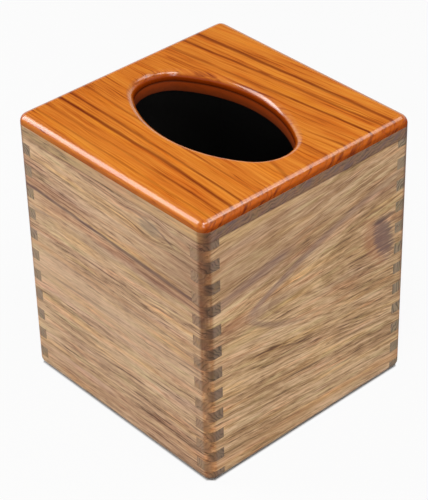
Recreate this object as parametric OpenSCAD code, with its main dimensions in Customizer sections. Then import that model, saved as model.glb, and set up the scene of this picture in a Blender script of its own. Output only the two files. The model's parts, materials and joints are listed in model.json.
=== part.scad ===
// Cube tissue box cover in wood: four finger-jointed walls, a lid of two boards glued face to
// face with an oval opening through both, and a bottom panel that slides out to the left.
// The origin is the centre of the base, +Z is up, and the front wall faces -Y.

/* [Body] */
// Outside width, from the left wall to the right wall
body_w = 130; // [120:1:170]
// Outside depth, from the front wall to the back wall
body_d = 130; // [120:1:170]
// Height of the walls, from the table to the lid
wall_h = 136; // [100:1:170]
// Thickness of the four walls
wall_t = 9; // [8:0.5:11]
// Radius of the four upright corners, of the walls and of the lid
corner_r = 5; // [4.75:0.25:7]
// Radius of the edge round the base
foot_r = 3.5; // [1:0.25:4]

/* [Finger joints] */
// Height of one finger, counted from the table up
finger_h = 6; // [5.5:0.25:9]

/* [Lid] */
// Thickness of the natural board that is glued on the walls
board_t = 5.5; // [4:0.5:10]
// Thickness of the stained cap that is glued on the board
cap_t = 5; // [5:0.5:9]
// Radius of the cap's top edge
cap_edge_r = 4.5; // [2:0.25:4.5]

/* [Opening] */
// Length of the oval, along the grain of the lid
opening_l = 93.5; // [80:0.5:96]
// Width of the oval, across the grain
opening_w = 54; // [46:0.5:56]
// Radius of the oval's two tight ends
opening_end_r = 18; // [12:0.25:20]
// Radius of the rounded lip on the cap
lip_r = 2.5; // [1.5:0.25:4]

/* [Bottom panel] */
// Thickness of the sliding panel
panel_t = 3; // [2:0.25:3.5]
// Depth of the groove that carries the panel
groove_depth = 4.5; // [3:0.25:5]
// Running clearance between the panel and its groove
panel_gap = 0.25; // [0.2:0.05:0.4]
// How far the panel's pull end stays behind the left face
pull_setback = 1; // [0.5:0.25:3]
// Radius of the finger notch in the pull end
notch_r = 11; // [8:0.5:14]
// Radius of the panel's two inner corners
panel_corner_r = 2; // [1:0.25:4]

/* [Hidden] */
$fn = 96;

// Overrun of every cut past the face that it goes through
over = 1;

// Number of finger heights in a wall; the topmost one is trimmed by the wall's height
fingers = ceil(wall_h / finger_h);

// Inside of the box
inside_w = body_w - 2 * wall_t;
inside_d = body_d - 2 * wall_t;

// The groove ends level with the underside of the left wall, which stands one finger off the table
groove_h = panel_t + 2 * panel_gap;
groove_z = finger_h - groove_h;

// Four-centred oval: two tight ends on the centre line, and two long sides tangent to them
opening_end_x = opening_l / 2 - opening_end_r;
opening_side_r = (pow(opening_end_x, 2) + pow(opening_w / 2, 2) - pow(opening_end_r, 2))
    / (opening_w - 2 * opening_end_r);
opening_side_y = opening_side_r - opening_w / 2;

// Upright section of a block, its lower edges rounded by low_r and its upper ones by high_r
module block_section(w, h, low_r, high_r) {
    intersection() {
        translate([-w / 2, 0]) square([w, h]);
        union() {
            translate([-w / 2, low_r]) square([w, h - low_r - high_r]);
            translate([low_r - w / 2, 0]) square([w - 2 * low_r, h - high_r]);
            translate([high_r - w / 2, low_r]) square([w - 2 * high_r, h - low_r]);
            for (side = [-1, 1]) {
                if (low_r > 0) translate([side * (w / 2 - low_r), low_r]) circle(low_r);
                if (high_r > 0) translate([side * (w / 2 - high_r), h - high_r]) circle(high_r);
            }
        }
    }
}

// Block on the box's plan, with its upright corners rounded by corner_r and its edges as asked
module rounded_block(h, low_r, high_r) {
    rotate([90, 0, 0]) linear_extrude(body_d - 2 * corner_r, center = true)
        block_section(body_w, h, low_r, high_r);
    rotate([90, 0, 90]) linear_extrude(body_w - 2 * corner_r, center = true)
        block_section(body_d, h, low_r, high_r);
    for (x = [-1, 1], y = [-1, 1])
        translate([x * (body_w / 2 - corner_r), y * (body_d / 2 - corner_r), 0])
            rotate_extrude() intersection() {
                block_section(2 * corner_r, h, low_r, high_r);
                square([corner_r, h]);
            }
}

// Groove that carries the bottom panel on three sides and runs out under the left wall
module panel_groove() {
    translate([-body_w / 2 - over, -inside_d / 2 - groove_depth, groove_z])
        cube([body_w - wall_t + over + groove_depth, inside_d + 2 * groove_depth, groove_h]);
}

// Sockets for the neighbour's fingers, at the end of a board that runs along X from there
module finger_sockets(first) {
    for (i = [first : 2 : fingers - 1]) {
        low = i == 0 ? -over : i * finger_h;
        high = i == fingers - 1 ? wall_h + over : (i + 1) * finger_h;
        translate([-over, -over, low]) cube([wall_t + over, wall_t + 2 * over, high - low]);
    }
}

// Square-edged board with its outer face on y = 0, cut at both ends for its neighbours' fingers
module jointed_board(length, bottom, first_socket) {
    difference() {
        translate([-length / 2, 0, bottom]) cube([length, wall_t, wall_h - bottom]);
        for (end = [0, 1])
            mirror([end, 0, 0]) translate([-length / 2, 0, 0]) finger_sockets(first_socket);
    }
}

// One wall, turned to its side of the box, rounded on the outside and grooved for the panel
module wall(turn, length, across, bottom, first_socket) {
    difference() {
        intersection() {
            rounded_block(wall_h, foot_r, 0);
            rotate(turn) translate([0, -across / 2, 0])
                jointed_board(length, bottom, first_socket);
        }
        panel_groove();
    }
}

// The front and back walls hold the lowest finger of every corner
module front_wall() {
    color("tan") wall(0, body_w, body_d, 0, 1);
}

module back_wall() {
    color("tan") wall(180, body_w, body_d, 0, 1);
}

// The right and left walls' fingers fill the sockets of the front and back walls
module right_wall() {
    color("burlywood") wall(90, body_d, body_w, 0, 0);
}

// The left wall stops one finger above the table, so that the panel passes under it
module left_wall() {
    color("burlywood") wall(270, body_d, body_w, finger_h, 0);
}

// Sector of the oval between its tight ends, from the centre line out past one long side
module side_sector() {
    reach = 1 + opening_side_r / opening_side_y;
    polygon([
        [-opening_end_x, 0], [opening_end_x, 0],
        [opening_end_x * reach, opening_side_r], [-opening_end_x * reach, opening_side_r],
    ]);
}

// Outline of the oval
module opening_outline() {
    for (side = [-1, 1])
        translate([side * opening_end_x, 0]) circle(opening_end_r);
    for (turn = [0, 180])
        rotate(turn) intersection() {
            translate([0, -opening_side_y]) circle(opening_side_r);
            side_sector();
        }
}

// Round cut of radius r up through the cap, with the rounded lip at its mouth
module lipped_cut(r) {
    rotate_extrude() difference() {
        translate([0, -over]) square([r + lip_r, cap_t + 2 * over]);
        translate([r + lip_r, cap_t - lip_r]) circle(lip_r);
        translate([r, -2 * over]) square([lip_r + over, cap_t - lip_r + 2 * over]);
    }
}

// The oval cut through the cap, made from four round cuts that meet tangentially
module lipped_opening() {
    for (side = [-1, 1])
        translate([side * opening_end_x, 0, 0]) lipped_cut(opening_end_r);
    for (turn = [0, 180])
        rotate(turn) intersection() {
            translate([0, -opening_side_y, 0]) lipped_cut(opening_side_r);
            translate([0, 0, -over]) linear_extrude(cap_t + 2 * over) side_sector();
        }
}

// Natural board on the walls; its end grain shows as a band round the box
module lid_board() {
    color("rosybrown") translate([0, 0, wall_h]) difference() {
        rounded_block(board_t, 0, 0);
        translate([0, 0, -over]) linear_extrude(board_t + 2 * over) opening_outline();
    }
}

// Stained cap, rounded all round its top edge and at the lip of the opening
module lid_cap() {
    color("chocolate") translate([0, 0, wall_h + board_t]) difference() {
        rounded_block(cap_t, 0, cap_edge_r);
        lipped_opening();
    }
}

// Thin panel in the groove, with a half-round finger notch in its pull end
module bottom_panel() {
    pull_x = pull_setback - body_w / 2;
    inner_x = inside_w / 2 + groove_depth - panel_gap;
    half_d = inside_d / 2 + groove_depth - panel_gap;
    color("dimgray") translate([0, 0, groove_z + panel_gap]) linear_extrude(panel_t) difference() {
        union() {
            translate([pull_x, -half_d]) square([inner_x - panel_corner_r - pull_x, 2 * half_d]);
            translate([pull_x, panel_corner_r - half_d])
                square([inner_x - pull_x, 2 * (half_d - panel_corner_r)]);
            for (side = [-1, 1])
                translate([inner_x - panel_corner_r, side * (half_d - panel_corner_r)])
                    circle(panel_corner_r);
        }
        translate([pull_x, 0]) circle(notch_r);
    }
}

front_wall();
back_wall();
left_wall();
right_wall();
lid_board();
lid_cap();
bottom_panel();
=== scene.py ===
"""Looks of a wooden tissue box cover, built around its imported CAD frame.

Four jointed walls, the natural board and the stained cap of the lid, and the sliding bottom
panel are modelled at the places of their CAD nodes, and each board gets a wood finish whose
figure runs right through it, so that faces, edges and end grain belong together.
Sizes are in millimetres and turned to metres where a mesh is made.
"""

import json
import logging
import math
from abc import ABC, abstractmethod
from dataclasses import dataclass
from enum import Enum
from typing import Callable, Optional, Union

import bpy
from mathutils import Matrix, Vector

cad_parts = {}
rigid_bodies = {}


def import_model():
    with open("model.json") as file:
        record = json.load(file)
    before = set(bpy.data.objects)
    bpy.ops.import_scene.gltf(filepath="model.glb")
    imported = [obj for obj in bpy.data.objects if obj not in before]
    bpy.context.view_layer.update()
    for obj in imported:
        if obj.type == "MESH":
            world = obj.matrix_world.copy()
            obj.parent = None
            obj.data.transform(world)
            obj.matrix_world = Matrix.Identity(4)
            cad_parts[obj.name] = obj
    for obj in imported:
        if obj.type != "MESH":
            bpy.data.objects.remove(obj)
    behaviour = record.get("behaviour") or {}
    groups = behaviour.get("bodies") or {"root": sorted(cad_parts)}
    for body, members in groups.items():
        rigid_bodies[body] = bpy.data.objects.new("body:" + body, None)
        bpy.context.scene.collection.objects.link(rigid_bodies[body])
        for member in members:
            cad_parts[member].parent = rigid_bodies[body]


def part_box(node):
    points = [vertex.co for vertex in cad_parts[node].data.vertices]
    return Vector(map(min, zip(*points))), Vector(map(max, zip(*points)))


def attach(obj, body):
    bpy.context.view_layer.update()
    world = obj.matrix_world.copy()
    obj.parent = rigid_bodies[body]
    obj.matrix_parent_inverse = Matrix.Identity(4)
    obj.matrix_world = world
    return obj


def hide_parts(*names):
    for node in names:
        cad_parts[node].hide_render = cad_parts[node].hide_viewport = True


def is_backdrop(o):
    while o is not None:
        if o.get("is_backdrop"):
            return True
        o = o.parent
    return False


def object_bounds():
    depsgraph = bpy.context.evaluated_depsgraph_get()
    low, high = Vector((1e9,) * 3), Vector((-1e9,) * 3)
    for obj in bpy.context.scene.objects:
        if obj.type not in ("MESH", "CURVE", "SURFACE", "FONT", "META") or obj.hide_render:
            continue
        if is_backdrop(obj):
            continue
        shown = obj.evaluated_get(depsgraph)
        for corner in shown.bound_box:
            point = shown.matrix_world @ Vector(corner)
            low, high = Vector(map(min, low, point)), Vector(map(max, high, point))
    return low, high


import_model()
CAD_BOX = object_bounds()

Point = tuple[float, float]
Corner = tuple[float, float, float]
Colour = tuple[float, float, float]
Test = Callable[[Vector, Vector], bool]

MM = 0.001
PLACE_TOLERANCE = 0.01
MERGE_DISTANCE = 0.001
SPLIT_THRESHOLD = 1e-7
SHARP_ANGLE = math.radians(40)
SMOOTH_ANGLE = math.radians(30)
NOISE_GAIN = 3.2
SEED_STEP = 31.7
log = logging.getLogger("tissue_box_cover")


def paint(*screen: int) -> Colour:
    """Turn a screen colour, with parts from 0 to 255, into the linear colour that a shader takes."""
    shares = (channel / 255 for channel in screen)
    return tuple(c / 12.92 if c <= 0.04045 else ((c + 0.055) / 1.055) ** 2.4 for c in shares)


class Axis(Enum):
    """A direction of the row frame."""

    X = 0
    Y = 1
    Z = 2

    @property
    def unit(self) -> Vector:
        """Vector of length one along the axis."""
        return Vector([1.0 if self.value == i else 0.0 for i in range(3)])


class Side(Enum):
    """A wall: the way that it looks, the row of its lowest fingers, and whether it is mirrored."""

    FRONT = (Axis.Y, 0, False)
    RIGHT = (Axis.X, 1, False)
    LEFT = (Axis.X, 1, True)
    BACK = (Axis.Y, 0, True)


class Pick(Enum):
    """What a selection in edit mode is made of."""

    POINTS = (True, False, False)
    EDGES = (False, True, False)
    FACES = (False, False, True)


class Cut(Enum):
    """Whether a tool's space is taken away from a board or kept."""

    REMOVE = "DIFFERENCE"
    KEEP = "INTERSECT"


def drop_selection() -> None:
    """Deselect every object and leave none active."""
    for other in bpy.context.view_layer.objects:
        other.select_set(False)
    bpy.context.view_layer.objects.active = None


class Stock:
    """A board on the bench: one mesh object and the moves that shape it."""

    def __init__(self, name: str) -> None:
        """Take the object that was just added, and name it and its mesh."""
        self.piece = bpy.context.object
        self.piece.name = self.piece.data.name = name

    @classmethod
    def block(cls, name: str, low: Corner, high: Corner) -> "Stock":
        """Add a block at its size and place.

        Args:
            name: Name of the piece.
            low: Lowest corner.
            high: Highest corner.

        Returns:
            The block.
        """
        drop_selection()
        middle = [(a + b) / 2 * MM for a, b in zip(low, high)]
        bpy.ops.mesh.primitive_cube_add(size=1, location=middle)
        made = cls(name)
        made.piece.scale = [(b - a) * MM for a, b in zip(low, high)]
        bpy.ops.object.transform_apply(location=True, rotation=True, scale=True)
        return made

    def hold(self) -> None:
        """Make this piece the only one selected, and active."""
        drop_selection()
        self.piece.select_set(True)
        bpy.context.view_layer.objects.active = self.piece

    def work(self, mode: Pick, test: Optional[Test], move: Callable[[], object]) -> None:
        """Select edges or faces by their place and run one edit-mode move on them.

        Args:
            mode: Whether edges or faces are picked.
            test: For edges it gets both ends, for faces the centre and the normal, in
                millimetres. None picks the whole mesh.
            move: The move, which acts on what is selected.
        """
        self.hold()
        mesh = self.piece.data
        for part in (*mesh.vertices, *mesh.edges, *mesh.polygons):
            part.select = test is None
        if test and mode is Pick.EDGES:
            for edge in mesh.edges:
                edge.select = test(*(mesh.vertices[i].co / MM for i in edge.vertices))
        elif test:
            for side in mesh.polygons:
                side.select = test(side.center / MM, side.normal)
        bpy.context.tool_settings.mesh_select_mode = mode.value
        bpy.ops.object.mode_set(mode="EDIT")
        move()
        bpy.ops.object.mode_set(mode="OBJECT")

    def split(self, axis: Axis, at: float) -> None:
        """Cut an edge loop round the whole piece, in the plane across an axis at a place."""
        self.work(Pick.FACES, None, lambda: bpy.ops.mesh.bisect(
            plane_co=axis.unit * at * MM, plane_no=axis.unit, threshold=SPLIT_THRESHOLD))

    def pull(self, test: Test, by: Vector) -> None:
        """Extrude the faces that pass a test, by a vector in millimetres."""
        self.work(Pick.FACES, test, lambda: bpy.ops.mesh.extrude_region_move(
            TRANSFORM_OT_translate={"value": [step * MM for step in by]}))

    def round_over(self, test: Test, radius: float, steps: int) -> None:
        """Round the edges that pass a test to a radius, in so many facets."""
        self.work(Pick.EDGES, test, lambda: bpy.ops.mesh.bevel(
            offset=radius * MM, offset_type="OFFSET", segments=steps, profile=0.5,
            affect="EDGES", clamp_overlap=False))

    def face_out(self) -> None:
        """Turn all faces outwards."""
        self.work(Pick.FACES, None, lambda: bpy.ops.mesh.normals_make_consistent(inside=False))

    def apply(self, kind: str, **settings: object) -> None:
        """Add a modifier and apply it.

        Args:
            kind: Its type.
            settings: What is set on it.
        """
        self.hold()
        made = self.piece.modifiers.new(kind.lower(), kind)
        for key, value in settings.items():
            setattr(made, key, value)
        bpy.ops.object.modifier_apply(modifier=made.name)

    def shape(self, tool: "Stock", cut: Cut) -> "Stock":
        """Shape the piece with another solid.

        Args:
            tool: The solid that cuts it.
            cut: Whether the tool's space is taken away or kept.

        Returns:
            The tool, to use again or to throw away.
        """
        self.apply("BOOLEAN", operation=cut.value, solver="EXACT", object=tool.piece)
        self.work(Pick.FACES, None,
                  lambda: bpy.ops.mesh.remove_doubles(threshold=MERGE_DISTANCE * MM))
        return tool

    def discard(self) -> None:
        """Throw the piece away."""
        bpy.data.objects.remove(self.piece)

    def mirror(self, axis: Axis) -> None:
        """Turn the piece into its mirror image through the middle of the box."""
        self.piece.data.transform(Matrix.Scale(-1, 4, axis.unit))
        self.face_out()

    def ease(self, width: float) -> None:
        """Break every sharp edge with a fine chamfer, as sandpaper does, and smooth the shading.

        Args:
            width: Width of the chamfer.
        """
        self.apply("BEVEL", width=width * MM, segments=2, limit_method="ANGLE",
                   angle_limit=SHARP_ANGLE, use_clamp_overlap=False)
        self.face_out()
        bpy.ops.object.shade_smooth_by_angle(angle=SMOOTH_ANGLE)
        self.apply("WEIGHTED_NORMAL", keep_sharp=True)

    def dress(self, finish: bpy.types.Material, inner: Optional[bpy.types.Material] = None,
              inside: Optional[Test] = None) -> None:
        """Give the piece its finish, and another one to its inner faces.

        Args:
            finish: Material of the whole piece.
            inner: Material of the faces that the test picks.
            inside: Gets a face's centre and normal.
        """
        self.piece.data.materials.clear()
        self.piece.data.materials.append(finish)
        if inner:
            self.piece.data.materials.append(inner)
            self.piece.active_material_index = 1
            self.work(Pick.FACES, inside, bpy.ops.object.material_slot_assign)

    def fit(self, node: str, body: str, slot: str) -> None:
        """Let the piece stand for its CAD node and ride on that node's body.

        Args:
            node: The CAD node.
            body: The CAD body.
            slot: The record's material slot; not used.
        """
        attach(self.piece, body)
        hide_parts(node)


@dataclass(frozen=True)
class Wire:
    """One output of a node, with the arithmetic that adds Math nodes behind it."""

    graph: "Graph"
    socket: bpy.types.NodeSocket

    def __add__(self, other: "Value") -> "Wire":
        """Sum."""
        return self.graph.math("ADD", self, other)

    __radd__ = __add__

    def __mul__(self, other: "Value") -> "Wire":
        """Product."""
        return self.graph.math("MULTIPLY", self, other)

    __rmul__ = __mul__

    def __sub__(self, other: "Value") -> "Wire":
        """Difference."""
        return self.graph.math("SUBTRACT", self, other)

    def __rsub__(self, other: "Value") -> "Wire":
        """Difference, from a number."""
        return self.graph.math("SUBTRACT", other, self)

    def __truediv__(self, other: "Value") -> "Wire":
        """Quotient."""
        return self.graph.math("DIVIDE", self, other)

    def __abs__(self) -> "Wire":
        """Size without its sign."""
        return self.graph.math("ABSOLUTE", self)

    def between(self, start: float, end: float, low: float = 0.0, high: float = 1.0) -> "Wire":
        """Go smoothly from low to high as this value goes from start to end, and hold there.

        Args:
            start: Value that gives low.
            end: Value that gives high, above or below start.
            low: Result at the start.
            high: Result at the end.

        Returns:
            The eased value.
        """
        if start > end:
            start, end, low, high = end, start, high, low
        return self.graph.node(
            "ShaderNodeMapRange", {"interpolation_type": "SMOOTHSTEP"},
            {"Value": self, "From Min": start, "From Max": end, "To Min": low, "To Max": high})


Value = Union[Wire, float]


class Graph:
    """The node tree of one material or world."""

    def __init__(self, tree: bpy.types.NodeTree) -> None:
        """Take a node tree and empty it."""
        self.tree = tree
        self.tree.nodes.clear()

    def node(self, kind: str, settings: Optional[dict] = None, sockets: Optional[dict] = None,
             output: Union[int, str] = 0) -> Optional[Wire]:
        """Add any node.

        Args:
            kind: Its type.
            settings: What is set on it first; stops is for a colour ramp.
            sockets: Values or wires of its inputs, by name or number.
            output: The output that is handed back, by name or number.

        Returns:
            The wire from that output, or None from a node that has no output.
        """
        made = self.tree.nodes.new(kind)
        for key, value in (settings or {}).items():
            if key == "stops":
                stops = made.color_ramp.elements
                while len(stops) < len(value):
                    stops.new(1.0)
                for stop, (place, colour) in zip(stops, value):
                    stop.position = place
                    stop.color = (*colour, 1.0)
            else:
                setattr(made, key, value)
        for key, value in (sockets or {}).items():
            if isinstance(value, Wire):
                self.tree.links.new(value.socket, made.inputs[key])
            elif made.inputs[key].type == "RGBA":
                made.inputs[key].default_value = (*value, 1.0)
            else:
                made.inputs[key].default_value = value
        return Wire(self, made.outputs[output]) if len(made.outputs) else None

    def math(self, operation: str, *terms: Value) -> Wire:
        """Add a Math node with its inputs in order."""
        return self.node("ShaderNodeMath", {"operation": operation}, dict(enumerate(terms)))

    def mix(self, share: Value, first: Union[Wire, Colour], second: Union[Wire, Colour],
            mode: str = "MIX") -> Wire:
        """Mix a share of the second colour into the first, in a blend mode."""
        return self.node("ShaderNodeMix", {"data_type": "RGBA", "blend_type": mode},
                         {0: share, 6: first, 7: second}, output=2)

    def scaled(self, vector: Wire, by: Corner, shift: float = 0.0) -> Wire:
        """Scale the three parts of a vector, and add one shift to them all."""
        return self.node("ShaderNodeVectorMath", {"operation": "MULTIPLY_ADD"},
                         {0: vector, 1: by, 2: (shift,) * 3})

    def joined(self, first: Value, second: Value, third: Value) -> Wire:
        """Make a vector of three values."""
        return self.node("ShaderNodeCombineXYZ", None, {0: first, 1: second, 2: third})

    def surface(self, output: str, scale: float = 1.0) -> tuple[Wire, ...]:
        """Read the three parts of a surface coordinate.

        Args:
            output: Object for the place, Normal for the way that the surface faces.
            scale: Number that they are multiplied by.

        Returns:
            The parts along X, Y and Z.
        """
        source = self.scaled(self.node("ShaderNodeTexCoord", output=output), (scale,) * 3)
        parts = self.node("ShaderNodeSeparateXYZ", None, {0: source}).socket.node.outputs
        return tuple(Wire(self, part) for part in parts)

    def ray(self, kind: str) -> Wire:
        """Read a value that is 1 for rays of one kind: Camera, Glossy or Transmission."""
        return self.node("ShaderNodeLightPath", output=f"Is {kind} Ray")

    def background_ray(self) -> Wire:
        """Read a value that is 1 for rays that show the background: seen, mirrored, through glass."""
        seen = self.math("MAXIMUM", self.ray("Camera"), self.ray("Glossy"))
        return self.math("MAXIMUM", seen, self.ray("Transmission"))

    def noise(self, space: Wire, lengths: Corner, detail: float = 2.0, rough: float = 0.5,
              seed: float = 0.0) -> Wire:
        """Smooth noise from about -1 to 1.

        Args:
            space: Where it is read, in millimetres.
            lengths: Size of its features along the three directions, in millimetres.
            detail: Octaves above the first.
            rough: Strength of each octave over the one before.
            seed: Another number gives another pattern.

        Returns:
            The noise.
        """
        fine = self.scaled(space, tuple(1 / length for length in lengths), seed * SEED_STEP)
        soft = self.node("ShaderNodeTexNoise", None, {
            "Vector": fine, "Scale": 1.0, "Detail": detail, "Roughness": rough})
        return (soft - 0.5) * NOISE_GAIN


@dataclass(frozen=True)
class Finish(ABC):
    """A finish, which makes its material from a shader of its own."""

    name: str

    @abstractmethod
    def shader(self, graph: Graph) -> Wire:
        """Add the nodes of the finish to a tree, and hand back its shader."""

    def material(self) -> bpy.types.Material:
        """Make the material.

        Returns:
            The material.
        """
        made = bpy.data.materials.new(self.name)
        made.use_nodes = True
        graph = Graph(made.node_tree)
        graph.node("ShaderNodeOutputMaterial", None, {"Surface": self.shader(graph)})
        return made


@dataclass(frozen=True)
class Spot:
    """A point of a board: its place in the box and in the grain.

    end is 1 where the surface is cut square across the grain, and level is 1 where it is level.
    """

    x: Wire
    y: Wire
    z: Wire
    along: Wire
    across: Wire
    depth: Wire
    end: Wire
    level: Wire


@dataclass(frozen=True)
class Lay:
    """How a board lies in the box: the axes of its grain, its outer face and an offset of its figure.

    turned is -1 where the grain is read from the other end.
    """

    along: Axis
    across: Axis
    depth: Axis
    turned: int
    face: float
    offset: float

    def spot(self, graph: Graph) -> Spot:
        """Read a point's place in the box and in the board.

        Args:
            graph: The node tree.

        Returns:
            The point.
        """
        place = graph.surface("Object", 1 / MM)
        facing = graph.surface("Normal")
        depth = (place[self.depth.value] - self.face) * -math.copysign(1, self.face)
        end = abs(facing[self.along.value]).between(0.3, 0.95)
        along = place[self.along.value] * self.turned
        return Spot(*place, along, place[self.across.value], depth, end, abs(facing[2]))


@dataclass(frozen=True)
class Streak:
    """A coloured line in the figure of a face, from a start to an end along and across the grain."""

    start: Point
    end: Point
    width: float
    start_depth: float
    end_depth: float
    bow: float = 0.0
    fade: float = 0.0
    colour: Optional[Colour] = None

    def mask(self, u: Wire, v: Wire) -> Wire:
        """Work out how strongly the streak shows at a point.

        Args:
            u: Place along the grain.
            v: Place across the grain, already made to wander.

        Returns:
            A share from 0 to the streak's depth.
        """
        run = self.end[0] - self.start[0]
        rise = self.end[1] - self.start[1]
        t = (u - self.start[0]) / run
        line = (t * (-4 * self.bow) + (rise + 4 * self.bow)) * t + self.start[1]
        body = abs(v - line).between(self.width, self.width * 0.15)
        shown = body * t.between(0.0, 1.0, self.start_depth, self.end_depth)
        if self.fade:
            share = self.fade / abs(run)
            shown = shown * t.between(-share, share) * t.between(1 + share, 1 - share)
        return shown


@dataclass(frozen=True)
class Knot:
    """A knot or a dark patch: an oval that the grain flows round."""

    centre: Point
    half_size: Point
    depth: float
    colour: Colour
    push: float = 0.0
    tilt: float = 0.0

    def reach(self, u: Wire, v: Wire) -> Wire:
        """Measure how far a point is from the centre.

        Args:
            u: Place along the grain.
            v: Place across the grain.

        Returns:
            The distance squared, 1 at the oval's rim.
        """
        du = u - self.centre[0]
        dv = (v - self.centre[1] - du * self.tilt) / self.half_size[1]
        du = du / self.half_size[0]
        return du * du + dv * dv

    def flow(self, u: Wire, v: Wire) -> Wire:
        """Shift of the grain lines that makes them part round the knot."""
        near = self.reach(u, v).between(5.0, 0.0)
        return (v - self.centre[1]) * near * -self.push

    def mask(self, u: Wire, v: Wire, ragged: Wire) -> Wire:
        """Share from 0 to the patch's depth at a point, with a rim that noise makes ragged."""
        return (self.reach(u, v) + ragged * 0.8).between(1.3, 0.25) * self.depth


@dataclass(frozen=True)
class Arch:
    """The pointed arch of a flat-sawn board, lying on its side along the grain."""

    tip: Point
    opening: float
    spread: float
    reach: float
    side: int = 1
    squeeze: float = 0.45

    def flow(self, u: Wire, v: Wire) -> Wire:
        """Bend the grain lines round the arch.

        Args:
            u: Place along the grain.
            v: Place across the grain.

        Returns:
            The place across the grain with the arch taken out.
        """
        du = (u - self.tip[0]) * self.side
        dv = v - self.tip[1]
        outside = dv * dv - du * self.opening - du * du * self.spread
        root = u.graph.math("SQRT", abs(outside))
        outer = root * u.graph.math("SIGN", dv)
        inner = root * -self.squeeze
        bent = outer + (inner - outer) * outside.between(1.0, -1.0)
        near = abs(dv).between(self.reach, self.reach * 0.45)
        return bent * near + dv * (1 - near) + self.tip[1]


@dataclass(frozen=True)
class Fan:
    """Grain lines that spread apart along the face, by their slope at two heights."""

    below: float
    above: float
    low: float
    high: float

    def flow(self, u: Wire, v: Wire) -> Wire:
        """Place across the grain with the slopes taken out."""
        return v - u * v.between(self.low, self.high, self.below, self.above)


@dataclass(frozen=True)
class Tints:
    """Hues that drift through a board, each multiplied into the wood where its noise is strong."""

    golden: Colour = (1.10, 1.03, 0.78)
    violet: Colour = (0.93, 0.90, 1.02)
    rosy: Colour = (1.10, 0.95, 0.90)
    olive: Colour = (0.93, 1.02, 0.90)
    strength: float = 1.0
    full: float = 0.9

    def wash(self, colour: Wire, space: Wire) -> Wire:
        """Let the hues drift over a colour.

        Args:
            colour: The wood's colour.
            space: Where the noise is read.

        Returns:
            The washed colour.
        """
        graph = colour.graph
        warm = graph.noise(space, (60, 6, 6), seed=1)
        pink = graph.noise(space, (30, 3.4, 3.4), seed=2)
        for drift, most, hue in (
            (warm, self.full, self.golden), (warm, -self.full, self.violet),
            (pink, self.full, self.rosy), (pink, -self.full, self.olive),
        ):
            share = drift.between(most * 0.05, most) * self.strength
            colour = graph.mix(share, colour, hue, "MULTIPLY")
        return colour


@dataclass(frozen=True)
class Throat:
    """Stain on the wall of the opening, darkened as painted shade in the opening, most towards its lower
    end.
    """

    upper: Colour
    lower: Colour
    high: float
    low: float
    start: float
    glue_height: float = 141.5
    reach: Point = (50.0, 30.5)

    def wash(self, colour: Wire, spot: Spot, grain: Wire) -> Wire:
        """Lay the stain and the painted shade over the wall of the opening.

        Args:
            colour: The wood's colour.
            spot: The point.
            grain: Noise of the fibres.

        Returns:
            The colour with the stain and the painted shade.
        """
        mix = colour.graph.mix
        inside = spot.depth.between(self.start, self.start + 1.4)
        for place, reach in zip((spot.x, spot.y), self.reach):
            inside = inside * abs(place).between(reach + 1.5, reach)
        # Painted shade in the opening: darker towards the lower end of its wall.
        stain = mix((spot.z + grain * 0.7).between(self.high, self.low), self.upper, self.lower)
        stain = mix(grain.between(0.0, -1.4) * 0.45, stain, self.lower)
        glue = abs(spot.z - self.glue_height).between(0.8, 0.2) * 0.75
        stain = mix(glue, stain, tuple(part * 0.3 for part in self.lower))
        return mix(inside, colour, stain)


@dataclass(frozen=True)
class ShadeAndSeam:
    """Darkening of the upright corners and the lower edge, which is painted shade, with darker end grain at
    the corners, and of a seam, a dark joint line.
    """

    # Colours multiplied in: painted shade on the corners and on the lower edge, and the dark joint line of
    # the seam.
    corner_low: Colour = (0.96, 0.78, 0.6)
    corner_high: Colour = (0.56, 0.42, 0.33)
    foot: Colour = (0.46, 0.46, 0.5)
    seam: Colour = (0.66, 0.6, 0.58)
    seam_height: float = 136.0
    seam_width: float = 0.7
    inset: float = 59.6
    edge: float = 62.0

    def wash(self, colour: Wire, spot: Spot) -> Wire:
        """Darken the upright corners in upright streaks, as painted shade with darker end grain, the lower
        edge, as painted shade, and the seam, as a dark joint line.

        Args:
            colour: The wood's colour.
            spot: The point.

        Returns:
            The colour with the painted shade and the dark seam.
        """
        graph = colour.graph
        place = graph.joined(spot.x, spot.y, spot.z)
        # Painted shade on the upright corners, which turn away from the lamps, deeper higher up; partly the
        # darker end grain of the rounding.
        corner = abs(spot.x).between(self.inset, self.edge) * abs(spot.y).between(self.inset, self.edge)
        streaky = graph.noise(place, (1.4, 1.4, 24)).between(-1.0, 0.8, 0.7, 1.2)
        stain = graph.mix(spot.z.between(40, 90), self.corner_low, self.corner_high)
        worn = graph.mix(corner * streaky, colour, stain, "MULTIPLY")
        seam = abs(spot.z - self.seam_height).between(self.seam_width, self.seam_width * 0.25)
        worn = graph.mix(seam, worn, self.seam, "MULTIPLY")
        # Painted shade along the rounded lower edge, which faces down towards the floor.
        return graph.mix(spot.z.between(3.4, 1.2), worn, self.foot, "MULTIPLY")


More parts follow.
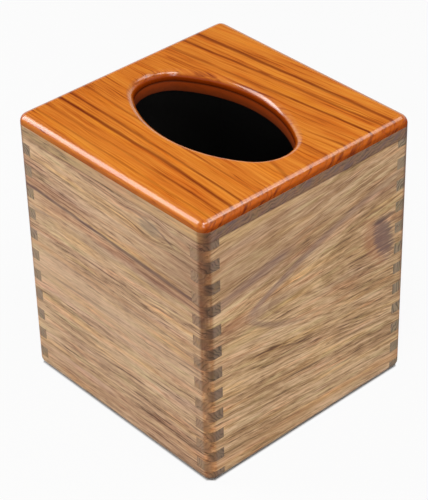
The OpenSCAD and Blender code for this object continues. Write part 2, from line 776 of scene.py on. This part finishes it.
@dataclass(frozen=True)
class Wood(Finish):
    """A board's wood with its lacquer or stain."""

    lay: Lay
    pale: Colour
    middle: Colour
    deep: Colour
    streak: Colour
    end: Colour
    ring_pitch: float = 1.9
    ring_tilt: float = 40.0
    ring_depth: float = 0.5
    streaks: tuple[Streak, ...] = ()
    knots: tuple[Knot, ...] = ()
    arch: Optional[Arch] = None
    fan: Optional[Fan] = None
    tints: Tints = Tints()
    throat: Optional[Throat] = None
    # Painted shade on the corners and the lower edge, and a dark seam line.
    shade_and_seam: ShadeAndSeam = ShadeAndSeam()
    roughness: float = 0.42
    specular: float = 0.25
    coat: float = 0.12
    end_coat: float = 0.12
    upright_coat: float = 1.0
    level_coat: float = 1.0
    coat_roughness: float = 0.25
    coat_ior: float = 1.5
    through: float = 1.0
    contrast: float = 1.3
    stretch: float = 1.0
    drift: float = 0.0
    end_lines: float = 2.6
    end_spots: float = 0.0
    end_spot: Colour = (0.1, 0.1, 0.1)

    def flow(self, spot: Spot) -> tuple[Wire, Wire]:
        """Follow the fibres and the year rings.

        Args:
            spot: The point.

        Returns:
            Two places across the grain: one stays the same along a fibre, the other along a ring.
        """
        graph, lines = spot.across.graph, spot.across
        if self.fan:
            lines = self.fan.flow(spot.along, lines)
        for knot in self.knots:
            if knot.push:
                lines = lines + knot.flow(spot.along, spot.across)
        space = graph.joined(spot.along + self.lay.offset, spot.across, spot.depth)
        waves = graph.noise(space, (70, 22, 30)) * 1.1
        ripples = graph.noise(space, (13, 6, 9), 1, seed=4) * 0.32
        lines = lines + waves + ripples
        return lines, self.arch.flow(spot.along, lines) if self.arch else lines

    def coat_weight(self, spot: Spot) -> Wire:
        """Weight of the lacquer, which differs on end grain, on upright faces and on level faces."""
        sloped = spot.end.between(0.2, 0.9, self.coat, self.end_coat) * spot.level.between(
            0.42, 0.68, self.upright_coat, 1.0)
        return sloped * spot.level.between(0.97, 0.998, 1.0, self.level_coat)

    def shader(self, graph: Graph) -> Wire:
        """Colour the grain, its streaks and knots and the end grain, and lay the lacquer over them.

        Args:
            graph: The node tree.

        Returns:
            The shader.
        """
        spot = self.lay.spot(graph)
        lines, rings = self.flow(spot)
        along = spot.along + self.lay.offset
        thread = graph.joined(along, lines, spot.depth * self.through)
        layer = graph.joined(along, rings, spot.depth * self.through)

        long = self.stretch
        clouds = graph.noise(layer, (60, 22, 22), 1, seed=3)
        bands = graph.noise(layer, (150, 8, 8))
        fibres = graph.noise(thread, (22 * long, 1.4, 1.4), 3, 0.6)
        flecks = graph.noise(thread, (7 * long, 0.8, 0.8), 2, 0.6)
        veins = graph.noise(thread, (45 * long, 1.4, 1.4), 1, seed=7).between(0.4, 0.95)
        pores = graph.noise(thread, (7 * long, 0.5, 0.5), 1).between(0.3, 0.85)
        tilt = math.radians(self.ring_tilt)
        phase = (rings * math.sin(tilt) + spot.depth * math.cos(tilt)) / self.ring_pitch + bands * 1.4
        ring = graph.math("FRACT", phase)
        strength = graph.noise(layer, (80, 5, 5), seed=5).between(-0.8, 1.0, 0.1, 1.0)
        late = ring.between(0.35, 0.9) * ring.between(1.0, 0.93) * strength * self.ring_depth

        light = clouds * 0.2 + bands * 0.24 + fibres * 0.42 + flecks * 0.3 - late * 0.8 - veins * 0.42
        tone = (light - pores * 0.35) * self.contrast + spot.along * self.drift + 0.68
        stops = ((0.0, self.deep), (0.5, self.middle), (1.0, self.pale))
        colour = graph.node("ShaderNodeValToRGB", {"stops": stops}, {"Fac": tone})
        colour = self.tints.wash(colour, thread)

        wander = spot.across + graph.noise(thread, (26, 9, 9), seed=6) * 0.55 + flecks * 0.2
        broken = fibres.between(-1.2, 0.6, 1.15, 0.75)
        dark: Value = 0.0
        for streak in self.streaks:
            shown = streak.mask(spot.along, wander)
            if streak.colour:
                colour = graph.mix(shown * broken, colour, streak.colour)
            else:
                dark = graph.math("MAXIMUM", shown, dark)
        if self.streaks:
            colour = graph.mix(dark * broken, colour, self.streak)
        ragged = fibres * 0.8 + flecks * 0.5
        for knot in self.knots:
            shown = knot.mask(spot.along, spot.across, ragged)
            colour = graph.mix(shown * broken, colour, knot.colour)

        row = graph.noise(graph.joined(self.lay.offset, spot.z, 0.0), (9, 9, 9), 0)
        cut = late * self.end_lines + pores * 0.35 + flecks * 0.16 + row.between(-0.2, 1.0) * 0.3
        ends = graph.mix(cut, self.end, tuple(part * 0.42 for part in self.end))
        if self.end_spots:
            lens = graph.joined(self.lay.offset, spot.across, spot.depth + spot.across * 0.5)
            spots = graph.noise(lens, (9, 8, 2), seed=8).between(0.0, 0.6)
            ends = graph.mix(spots * self.end_spots, ends, self.end_spot)
        colour = graph.mix(spot.end, colour, self.tints.wash(ends, thread))
        if self.throat:
            colour = self.throat.wash(colour, spot, fibres)
        # Painted shade on the upright corners and the lower edge, and the dark seam line.
        colour = self.shade_and_seam.wash(colour, spot)

        height = fibres * 0.25 + flecks * 0.25 - pores * 0.9 - late * 0.3
        bump = graph.node("ShaderNodeBump", None, {"Strength": 0.25, "Distance": 0.00012, "Height": height})
        return graph.node("ShaderNodeBsdfPrincipled", None, {
            "Base Color": colour, "Roughness": self.roughness + pores * 0.1 + spot.end * 0.12,
            "Normal": bump, "Coat Weight": self.coat_weight(spot), "Coat IOR": self.coat_ior,
            "Coat Roughness": self.coat_roughness, "Specular IOR Level": self.specular})


@dataclass(frozen=True)
class NearBlack(Finish):
    """Matt near-black colour of the faces inside the box and of the bottom panel, lighter along its grain.
    """

    colour: Colour
    worn: Colour
    fibre: Corner = (40.0, 0.7, 0.7)

    def shader(self, graph: Graph) -> Wire:
        """Mix the near-black colour with a lighter one along the grain.

        Args:
            graph: The node tree.

        Returns:
            The shader.
        """
        place = graph.joined(*graph.surface("Object", 1 / MM))
        grain = graph.noise(place, self.fibre, 3)
        cloud = graph.noise(place, (30, 30, 30))
        worn = (grain * 0.35 + cloud * 0.25 + 0.3).between(0.0, 1.0)
        bump = graph.node("ShaderNodeBump", None, {"Strength": 0.4, "Distance": 0.0002, "Height": grain})
        return graph.node("ShaderNodeBsdfPrincipled", None, {
            "Base Color": graph.mix(worn, self.colour, self.worn), "Normal": bump,
            "Roughness": 0.72 + grain * 0.06, "Specular IOR Level": 0.2})


@dataclass(frozen=True)
class FloorPaper(Finish):
    """The floor's pale paper, which glows where it is seen or mirrored, but not under the box nor in a thin
    band round it, which is a painted contact shadow.
    """

    name: str = "pale_floor"
    grey: float = 0.5
    glow: float = 0.94
    mirrored_glow: float = 0.35
    footprint: float = 63.6
    contact_shadow: float = 1.4
    corner_cut: float = 61.5

    def shader(self, graph: Graph) -> Wire:
        """Mix the paper with its glow.

        Args:
            graph: The node tree.

        Returns:
            The shader.
        """
        level = graph.ray("Glossy") * (self.mirrored_glow - self.glow) + self.glow
        x, y, _ = (abs(part) for part in graph.surface("Object", 1 / MM))
        far = graph.math("MAXIMUM", graph.math("MAXIMUM", x, y), x + y - self.corner_cut)
        # The glow stops at the box's footprint, so a thin band round its foot shows the grey paper: a
        # painted contact shadow, darkened further by the real shade.
        glow = graph.background_ray() * level * far.between(self.footprint, self.footprint + self.contact_shadow)
        paper = graph.node("ShaderNodeBsdfDiffuse", None, {"Color": (self.grey,) * 3})
        white = graph.node("ShaderNodeEmission", None, {"Color": (1.0, 1.0, 1.0), "Strength": 1.0})
        return graph.node("ShaderNodeMixShader", None, {0: glow, 1: paper, 2: white})


@dataclass(frozen=True)
class Body:
    """Outside sizes that all the boards share. The box is square on plan."""

    half: float = 65.0
    wall_height: float = 136.0
    wall: float = 9.0
    corner_radius: float = 5.0
    corner_steps: int = 10
    foot_radius: float = 3.5
    foot_steps: int = 7
    finger: float = 6.0
    arris: float = 0.14
    over: float = 1.0

    @property
    def inner(self) -> float:
        """Half of the inside width."""
        return self.half - self.wall

    def upright_corner(self, a: Vector, b: Vector) -> bool:
        """Whether an edge is one of the four upright corners of a block on the box's plan."""
        upright = abs(a.x - b.x) + abs(a.y - b.y) < PLACE_TOLERANCE
        return upright and all(min(abs(p.x), abs(p.y)) > self.half - PLACE_TOLERANCE for p in (a, b))

    def block(self, name: str, low: float, high: float) -> Stock:
        """Make a block on the box's plan with its upright corners rounded.

        Args:
            name: Name of the block.
            low: Height of its underside.
            high: Height of its top.

        Returns:
            The block.
        """
        made = Stock.block(name, (-self.half, -self.half, low), (self.half, self.half, high))
        made.split(Axis.X, 0.0)
        made.split(Axis.Y, 0.0)
        made.round_over(self.upright_corner, self.corner_radius, self.corner_steps)
        return made

    def rim(self, a: Vector, b: Vector, height: float) -> bool:
        """Whether an edge runs round the outside of the plan at a height."""
        limit = self.half - self.corner_radius - PLACE_TOLERANCE
        return all(abs(p.z - height) < PLACE_TOLERANCE and max(abs(p.x), abs(p.y)) > limit for p in (a, b))

    def envelope(self) -> Stock:
        """Make the outline that all four walls are rounded to.

        Returns:
            The outline, as a solid.
        """
        made = self.block("envelope", 0.0, self.wall_height + self.over)
        made.round_over(lambda a, b: self.rim(a, b, 0.0), self.foot_radius, self.foot_steps)
        return made


@dataclass
class WallSet:
    """The four walls, finger-jointed at the upright corners."""

    body: Body
    woods: dict[Side, Wood]
    black: bpy.types.Material
    groove_depth: float = 4.5
    groove_height: float = 3.5
    groove_low: float = 2.5
    near: float = 0.3

    def jointed(self, side: Side) -> Stock:
        """Make a wall with fingers at both its ends, at the front or the right of the box.

        Args:
            side: The wall. The back and the left one are made at the place of their mirror images.

        Returns:
            The wall, square-edged.
        """
        body = self.body
        across, first, _ = side.value
        foot = body.finger if side is Side.LEFT else -body.over
        if across is Axis.Y:
            run, low, high = Axis.X, (-body.inner, -body.half - body.over), (body.inner, -body.inner)
        else:
            run, low, high = Axis.Y, (body.inner, -body.inner), (body.half + body.over, body.inner)
        wall = Stock.block(f"wall_{side.name.lower()}", (*low, foot), (*high, body.wall_height))
        for row in range(1, math.ceil(body.wall_height / body.finger)):
            if row * body.finger > foot:
                wall.split(Axis.Z, row * body.finger)

        for way in (-1, 1):
            def finger(centre: Vector, normal: Vector) -> bool:
                """Whether a face is the root of one of this wall's fingers."""
                row = max(0, int(centre.z // body.finger))
                return normal[run.value] * way > 0.9 and row % 2 == first

            wall.pull(finger, run.unit * way * (body.wall + body.over))
        return wall

    def groove(self) -> Stock:
        """Make the cutter of the groove that the bottom panel slides in."""
        far = self.body.inner + self.groove_depth
        return Stock.block("groove", (-self.body.half - self.body.over, -far, self.groove_low),
                           (far, far, self.groove_low + self.groove_height))

    def inside(self, centre: Vector, normal: Vector) -> bool:
        """Tell the faces of a wall that look into the box.

        Args:
            centre: Centre of a face.
            normal: Its normal.

        Returns:
            Whether the face is one of them.
        """
        from_x, from_y = (abs(part) - self.body.inner for part in centre.xy)
        deep = max(from_x, from_y)
        hidden = min(abs(from_x), abs(from_y)) < self.near and deep < self.body.wall - self.near
        return centre.z > self.groove_low and (hidden or deep < self.near)

    def build(self) -> list[Stock]:
        """Make the four walls.

        Returns:
            The walls, finished.
        """
        envelope = self.body.envelope()
        walls = []
        for side in Side:
            across, _, mirrored = side.value
            wall = self.jointed(side)
            wall.shape(envelope, Cut.KEEP)
            if side is not Side.LEFT:
                wall.shape(self.groove(), Cut.REMOVE).discard()
            if mirrored:
                wall.mirror(across)
            wall.ease(self.body.arris)
            wall.dress(self.woods[side].material(), self.black, self.inside)
            wall.fit(f"{side.name.lower()}_wall", "box", "wall_wood")
            walls.append(wall)
        envelope.discard()
        return walls


@dataclass(frozen=True)
class Oval:
    """The four-centred oval of the opening."""

    length: float = 93.5
    width: float = 54.0
    end_radius: float = 18.0
    steps: int = 28
    merge: float = 0.01

    @property
    def end_x(self) -> float:
        """Distance of the tight ends' centres from the middle."""
        return self.length / 2 - self.end_radius

    @property
    def side_y(self) -> float:
        """Distance of the long sides' centres from the middle."""
        squares = self.end_x ** 2 + (self.width / 2) ** 2 - self.end_radius ** 2
        return squares / (self.width - 2 * self.end_radius) - self.width / 2

    def cutter(self, low: float, high: float) -> Stock:
        """Make a prism of the oval by spinning a point round its four centres.

        Args:
            low: Height of its underside.
            high: Height of its top.

        Returns:
            The prism.
        """
        drop_selection()
        joint = math.atan2(self.side_y, self.end_x)
        start = (self.end_x + self.end_radius * math.cos(joint), -self.end_radius * math.sin(joint), low)
        bpy.ops.mesh.primitive_plane_add(size=MM, location=[part * MM for part in start])
        made = Stock("oval")
        bpy.ops.object.transform_apply(location=True, rotation=True, scale=True)
        bpy.context.tool_settings.mesh_select_mode = Pick.POINTS.value
        bpy.ops.object.mode_set(mode="EDIT")
        bpy.ops.mesh.merge(type="CENTER")
        for x, y in ((self.end_x, 0), (0, -self.side_y), (-self.end_x, 0), (0, self.side_y)):
            turn = 2 * joint if x else math.pi - 2 * joint
            bpy.ops.mesh.spin(steps=self.steps, angle=-turn, axis=(0, 0, 1),
                              center=(x * MM, y * MM, low * MM))
        bpy.ops.mesh.select_all(action="SELECT")
        bpy.ops.mesh.remove_doubles(threshold=self.merge * MM)
        bpy.ops.mesh.edge_face_add()
        bpy.ops.mesh.extrude_region_move(TRANSFORM_OT_translate={"value": (0, 0, (high - low) * MM)})
        bpy.ops.object.mode_set(mode="OBJECT")
        made.face_out()
        return made


@dataclass
class Lid:
    """The natural board and the stained cap, with the oval through both."""

    body: Body
    oval: Oval
    board_wood: Wood
    cap_wood: Wood
    black: bpy.types.Material
    board: float = 5.5
    cap: float = 5.0
    edge_radius: float = 4.5
    edge_steps: int = 14
    lip_radius: float = 4.0
    lip_steps: int = 10
    arris: float = 0.098

    def drilled(self, name: str, low: float, high: float) -> Stock:
        """Make a block of the lid with the oval cut through it.

        Args:
            name: Name of the block.
            low: Height of its underside.
            high: Height of its top.

        Returns:
            The block.
        """
        made = self.body.block(name, low, high)
        made.shape(self.oval.cutter(low - self.body.over, high + self.body.over), Cut.REMOVE).discard()
        return made

    def under(self, centre: Vector, normal: Vector) -> bool:
        """Whether a face is the part of the board's underside that closes the box."""
        low = centre.z < self.body.wall_height + 0.05
        return low and max(abs(centre.x), abs(centre.y)) < self.body.inner

    def lip(self, a: Vector, b: Vector, height: float) -> bool:
        """Whether an edge runs round the oval at a height."""
        x, y = self.oval.length / 2 + PLACE_TOLERANCE, self.oval.width / 2 + PLACE_TOLERANCE
        return all(abs(p.z - height) < PLACE_TOLERANCE and abs(p.x) < x and abs(p.y) < y for p in (a, b))

    def build(self) -> list[Stock]:
        """Make both boards, the cap rounded over all round and at the lip of the opening.

        Returns:
            The natural board and the stained cap, finished.
        """
        glue = self.body.wall_height + self.board
        top = glue + self.cap
        board = self.drilled("board_natural", self.body.wall_height, glue)
        cap = self.drilled("cap_stained", glue, top)
        cap.round_over(lambda a, b: self.body.rim(a, b, top), self.edge_radius, self.edge_steps)
        cap.round_over(lambda a, b: self.lip(a, b, top), self.lip_radius, self.lip_steps)
        for made in (board, cap):
            made.ease(self.arris)
        board.dress(self.board_wood.material(), self.black, self.under)
        board.fit("lid_board", "box", "lid_wood")
        cap.dress(self.cap_wood.material())
        cap.fit("lid_cap", "box", "stained_wood")
        return [board, cap]


@dataclass
class BottomPanel:
    """The thin panel that slides out to the left under the left wall."""

    finish: bpy.types.Material
    low: Corner
    high: Corner
    notch_radius: float = 11.0
    notch_sides: int = 64
    corner_radius: float = 2.0
    corner_steps: int = 6
    arris: float = 0.3

    def inner_corner(self, a: Vector, b: Vector) -> bool:
        """Whether an edge is one of the two upright corners at the inner end."""
        at_end = all(p.x > self.high[0] - PLACE_TOLERANCE for p in (a, b))
        return at_end and abs(a.y - b.y) < PLACE_TOLERANCE

    def build(self) -> list[Stock]:
        """Make the panel with its finger notch.

        Returns:
            The panel, finished.
        """
        made = Stock.block("panel_sliding", self.low, self.high)
        made.round_over(self.inner_corner, self.corner_radius, self.corner_steps)
        drop_selection()
        middle = (self.low[2] + self.high[2]) / 2
        bpy.ops.mesh.primitive_cylinder_add(
            vertices=self.notch_sides, radius=self.notch_radius * MM,
            depth=3 * (self.high[2] - self.low[2]) * MM, location=(self.low[0] * MM, 0.0, middle * MM))
        made.shape(Stock("notch"), Cut.REMOVE).discard()
        made.ease(self.arris)
        made.dress(self.finish)
        made.fit("bottom_panel", "panel", "panel_wood")
        return [made]


@dataclass(frozen=True)
class Softbox:
    """A square lamp that looks at the middle of the box, with its size and its power in watts."""

    name: str
    place: Corner
    size: float
    power: float


@dataclass
class Studio:
    """Pale floor, soft lamps, white surroundings and the camera of the photograph."""

    focal: float = 1920.745
    frame_height: int = 500
    azimuth: float = 48.412
    elevation: float = 35.3
    roll: float = -1.48
    distance: float = 929.583
    shift_right: float = -0.983
    shift_up: float = -3.107
    aim_height: float = 73.04
    sensor: float = 36.0
    paper: FloorPaper = FloorPaper()
    floor_size: float = 12.0
    world_level: float = 0.08
    ceiling_level: float = 0.18
    lamps: tuple[Softbox, ...] = (
        Softbox("lamp_left", (-725, -548, 734), 577, 4.8),
        Softbox("lamp_far_left", (-848, -451, 714), 240, 0.75),
        Softbox("lamp_low_left", (-850, -500, 356), 340, 2.0),
        Softbox("lamp_above_front", (365, -394, 1028), 330, 3.0),
        Softbox("lamp_above_right", (480, 5, 1049), 280, 1.4),
        Softbox("lamp_above_back", (480, 446, 944), 320, 1.5),
        Softbox("lamp_back", (190, 630, 1010), 500, 2.0),
        Softbox("lamp_right", (1060, 180, 480), 900, 2.2),
        Softbox("lamp_front", (640, -700, 620), 320, 3.4),
    )

    def build(self) -> None:
        """Make floor, lamps, world and camera."""
        self.build_floor()
        for lamp in self.lamps:
            self.hang(lamp)
        self.light_world()
        self.place_camera()
        bpy.context.scene.view_settings.view_transform = "Standard"
        log.info("studio: %d lamps", len(self.lamps))

    def build_floor(self) -> None:
        """Lay the floor that the box stands on."""
        drop_selection()
        bpy.ops.mesh.primitive_plane_add(size=self.floor_size, location=(0, 0, 0))
        floor = Stock("floor")
        floor.dress(self.paper.material())
        floor.piece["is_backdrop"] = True

    def hang(self, lamp: Softbox) -> None:
        """Hang one lamp.

        Args:
            lamp: The lamp.
        """
        light = bpy.data.lights.new(lamp.name, "AREA")
        light.shape = "SQUARE"
        light.size = lamp.size * MM
        light.energy = lamp.power
        hung = bpy.data.objects.new(lamp.name, light)
        bpy.context.scene.collection.objects.link(hung)
        hung.location = Vector(lamp.place) * MM
        aim = Vector((0.0, 0.0, self.aim_height * MM)) - hung.location
        hung.rotation_euler = aim.to_track_quat("-Z", "Y").to_euler()

    def light_world(self) -> None:
        """Surround the scene with soft light, and with a white backdrop where it is seen or mirrored.

        The backdrop fades to a dim ceiling for mirrored rays, as in a studio.
        """
        world = bpy.data.worlds.new("surroundings")
        bpy.context.scene.world = world
        world.use_nodes = True
        graph = Graph(world.node_tree)
        backdrop = graph.surface("Generated")[2].between(0.28, 0.5, 1.0, self.ceiling_level)
        shown = graph.ray("Glossy") * (backdrop - 1.0) + 1.0
        strength = graph.background_ray() * (shown - self.world_level) + self.world_level
        sky = graph.node("ShaderNodeBackground", None, {"Color": (1.0, 1.0, 1.0), "Strength": strength})
        graph.node("ShaderNodeOutputWorld", None, {"Surface": sky})

    def place_camera(self) -> None:
        """Put the camera where the photograph was taken from."""
        az, el, roll = (math.radians(a) for a in (self.azimuth, self.elevation, self.roll))
        back = Vector((math.sin(az) * math.cos(el), -math.cos(az) * math.cos(el), math.sin(el)))
        level = Vector((math.cos(az), math.sin(az), 0.0))
        upright = back.cross(level)
        right = level * math.cos(roll) + upright * math.sin(roll)
        up = upright * math.cos(roll) - level * math.sin(roll)
        data = bpy.data.cameras.new("camera")
        data.sensor_fit = "AUTO"
        data.sensor_width = self.sensor
        data.lens = self.sensor * self.focal / self.frame_height
        data.clip_start, data.clip_end = 0.01, 50.0
        camera = bpy.data.objects.new("camera", data)
        bpy.context.scene.collection.objects.link(camera)
        target = Vector((0.0, 0.0, self.aim_height))
        place = target + back * self.distance + right * self.shift_right + up * self.shift_up
        turned = Matrix((right, up, back)).transposed().to_4x4()
        camera.matrix_world = Matrix.Translation(place * MM) @ turned
        bpy.context.scene.camera = camera


def wall_woods() -> dict[Side, Wood]:
    """Choose the wood of the four walls.

    Returns:
        The wood of each wall.
    """
    golden = paint(206, 168, 112)
    rusty = paint(172, 112, 78)
    violet = paint(134, 104, 96)
    dusky = paint(146, 106, 76)
    shared = dict(pale=paint(232, 196, 154), deep=paint(104, 68, 42), streak=paint(100, 64, 58))
    front = Wood(
        "wood_front", Lay(Axis.X, Axis.Z, Axis.Y, 1, -65, 310),
        middle=paint(193, 153, 116), end=paint(137, 111, 89), drift=-0.001, contrast=1.15,
        streaks=(
            Streak((-66, 66), (66, 62), 17, 0.55, 0.25, 0, 0, paint(220, 184, 150)),
            Streak((-20, 119), (66, 114), 30, 0, 0.6, 0, 0, dusky),
            Streak((-66, 106), (66, 98.5), 4.2, 0.45, 0.4, 0.4, 0, rusty),
            Streak((-66, 112.5), (10, 112), 5, 0.5, 0.1, 0, 12, rusty),
            Streak((-66, 98), (40, 97), 5, 0.4, 0.25, 0, 12, violet),
            Streak((8, 96), (66, 90), 3, 0.5, 0.5, 0, 8, golden),
            Streak((-66, 77), (40, 75.5), 2.4, 0.55, 0.3, 0, 10, paint(220, 170, 118)),
            Streak((-66, 12), (66, 8), 10, 0.25, 0.25, 0, 0, rusty),
            Streak((-66, 109.5), (66, 102.3), 1.6, 1, 0.9, 0.4, 0, paint(98, 62, 60)),
            Streak((16, 101), (66, 98.5), 0.8, 0.2, 0.7, 0, 8),
            Streak((10, 131), (45, 125), 1, 0.5, 0.8, 3, 6),
            Streak((-45, 62.3), (5, 62.8), 1.2, 0.45, 0.3, 0.3, 10),
        ),
        knots=(Knot((29, 128), (8, 4.6), 0.6, paint(140, 124, 102), 0.5),),
        fan=Fan(0, -0.03, 90, 110), **shared)
    right = Wood(
        "wood_right", Lay(Axis.Y, Axis.Z, Axis.X, 1, 65, 720),
        middle=paint(185, 144, 100), end=paint(168, 134, 105), ring_depth=0.35, contrast=1.2,
        streaks=(
            Streak((-66, 118), (66, 122), 26, 0.5, 0.2, 0, 0, dusky),
            Streak((-66, 134.5), (0, 134.5), 3.2, 0.6, 0.3, 0, 12, golden),
            Streak((-66, 97), (-14, 109), 4.4, 0.6, 0.7, 0.6, 8, violet),
            Streak((-56, 84.5), (-36, 83.5), 6, 0.5, 0.4, 0, 8, rusty),
            Streak((-60, 73), (-26, 72), 5, 0.4, 0.4, 0, 8, golden),
            Streak((-66, 9), (66, 9), 4, 0.45, 0.4, 0, 0, paint(206, 146, 104)),
            Streak((-38, 86), (62, 119), 3.4, 0.75, 0.3, 4.2, 6, violet),
            Streak((-38, 81), (-5, 66), 3, 0.5, 0.25, -2, 6, violet),
            Streak((-38, 83.5), (8, 84), 6, 0.45, 0, 0, 3, violet),
        ),
        knots=(
            Knot((43.5, 86.5), (10, 13), 0.55, rusty, 0, -0.9),
            Knot((48.5, 86), (8, 12), 0.8, paint(104, 80, 80), 0, -0.9),
            Knot((48, 97), (9, 1.7), 0.75, paint(84, 58, 50)),
        ),
        fan=Fan(-0.07, 0.09, 66, 104), arch=Arch((-38, 84), 6.2, 0.055, 60), **shared)
    back = Wood(
        "wood_back", Lay(Axis.X, Axis.Z, Axis.Y, -1, 65, 1190),
        middle=paint(188, 151, 113), end=paint(160, 139, 113),
        streaks=(
            Streak((-66, 34), (30, 31), 5, 0.5, 0.25, 0.5, 14, violet),
            Streak((-10, 118), (66, 121), 4, 0.3, 0.5, 0, 14, golden),
            Streak((-66, 88), (66, 96), 1.3, 0.4, 0.8, 1.2),
        ),
        arch=Arch((44, 58), 5, 0.05, 50, -1), **shared)
    left = Wood(
        "wood_left", Lay(Axis.Y, Axis.Z, Axis.X, -1, -65, 1730),
        middle=paint(186, 149, 111), end=paint(165, 140, 114),
        streaks=(
            Streak((-30, 52), (66, 57), 4.4, 0.3, 0.55, 0.4, 14, violet),
            Streak((-66, 72), (20, 70), 3.4, 0.5, 0.3, 0, 12, golden),
            Streak((-66, 118), (66, 112), 1.5, 0.8, 0.45, -0.8),
        ),
        knots=(Knot((-22, 84), (6.5, 4), 0.8, paint(116, 96, 78), 0.4),),
        fan=Fan(0.02, -0.03, 60, 110), **shared)
    return {Side.FRONT: front, Side.RIGHT: right, Side.LEFT: left, Side.BACK: back}


def lid_woods() -> tuple[Wood, Wood]:
    """Choose the wood of the lid's two boards.

    Returns:
        The natural board's wood and the stained cap's.
    """
    board = Wood(
        "wood_board", Lay(Axis.X, Axis.Y, Axis.Z, 1, 141.5, 2210),
        pale=paint(212, 172, 126), middle=paint(190, 151, 109), deep=paint(122, 90, 66),
        streak=paint(110, 78, 72), end=paint(146, 110, 84), ring_tilt=12, contrast=1,
        end_spots=0.6, end_spot=paint(98, 78, 86),
        # The board's part of the opening's wall: stain darkened as painted shade.
        throat=Throat(paint(149, 59, 13), paint(110, 44, 12), 141, 136.5, -5))
    cap = Wood(
        "wood_cap", Lay(Axis.X, Axis.Y, Axis.Z, 1, 146.5, 2890),
        pale=paint(219, 136, 49), middle=paint(199, 108, 33), deep=paint(122, 42, 6),
        streak=paint(108, 32, 4), end=paint(188, 88, 8),
        streaks=(
            Streak((-66, 45.2), (66, 55), 1.8, 1, 0.75, 0.3),
            Streak((-66, 36), (66, 48.5), 1.3, 0.95, 0.5, 0.4),
            Streak((-14, 42.2), (-6, 43), 1.4, 0.7, 0.7, 0, 2),
            Streak((-66, 26.8), (-30, 30.3), 1.6, 0.5, 0.45, 0, 8),
            Streak((-30, 30.3), (66, 40.6), 1.2, 0.55, 0.85, 0, 8),
            Streak((38, 19.8), (66, 24.4), 1.1, 0.3, 0.75, 0, 6),
            Streak((44, -8), (66, -14), 1.6, 0.3, 0.5, 0, 6),
            Streak((-66, -25.8), (66, -31.2), 1, 0.5, 0.45),
            Streak((-66, -34.8), (66, -40.2), 1.1, 0.85, 0.7, 0.3),
            Streak((-66, -41.4), (66, -46.2), 1.6, 1, 0.75, 1.4),
            Streak((-66, -49.5), (66, -52), 1, 0.35, 0.4),
            Streak((-66, -56), (66, -58.5), 1, 0.45, 0.35),
        ),
        fan=Fan(-0.04, 0.095, -28, 25), ring_pitch=2.6, ring_tilt=30, ring_depth=0.45,
        stretch=3, contrast=0.95, through=0.3,
        end_lines=1.5, end_spots=0.9, end_spot=paint(116, 38, 2),
        tints=Tints((1.06, 1.05, 0.8), (0.93, 0.84, 0.8), (1.02, 0.88, 0.75), (1.0, 1.04, 0.9), 0.8),
        # The cap's part of the opening's wall: stain darkened as painted shade, most towards the bottom.
        throat=Throat(paint(154, 60, 3), paint(130, 48, 4), 144, 140.5, 1.2),
        # On the cap: painted shade on its upright corners, and on the lower band of its edge a dark glue
        # line with painted shade.
        shade_and_seam=ShadeAndSeam((0.9, 0.75, 0.65), (0.9, 0.75, 0.65), (1.0, 1.0, 1.0), (0.7, 0.62, 0.5), 142.3, 1.9),
        roughness=0.5, specular=0, coat=1, end_coat=0.5, upright_coat=0.3, level_coat=0.2,
        coat_roughness=0.16, coat_ior=1.7)
    return board, cap


def report_sizes() -> None:
    """Write the CAD box and the dressed part's box side by side."""
    boxes = {"cad": CAD_BOX, "visual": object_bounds()}
    for name, (low, high) in boxes.items():
        log.info("%s box %s to %s", name, tuple(round(c, 5) for c in low), tuple(round(c, 5) for c in high))


def main() -> None:
    """Build the studio and the box, sub-assembly by sub-assembly, and report each piece."""
    logging.basicConfig(level=logging.INFO, format="%(name)s: %(message)s")
    Studio().build()
    body = Body()
    black = NearBlack("black_inside", paint(24, 23, 22), paint(36, 33, 31)).material()
    black_panel = NearBlack("black_panel", paint(28, 26, 25), paint(44, 40, 37)).material()
    walls = WallSet(body, wall_woods(), black)
    lid = Lid(body, Oval(), *lid_woods(), black)
    panel = BottomPanel(black_panel, *(tuple(corner / MM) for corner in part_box("bottom_panel")))
    for assembly in (walls, lid, panel):
        for made in assembly.build():
            log.info("%s: %d faces", made.piece.name, len(made.piece.data.polygons))
    report_sizes()


if __name__ == "__main__":
    main()
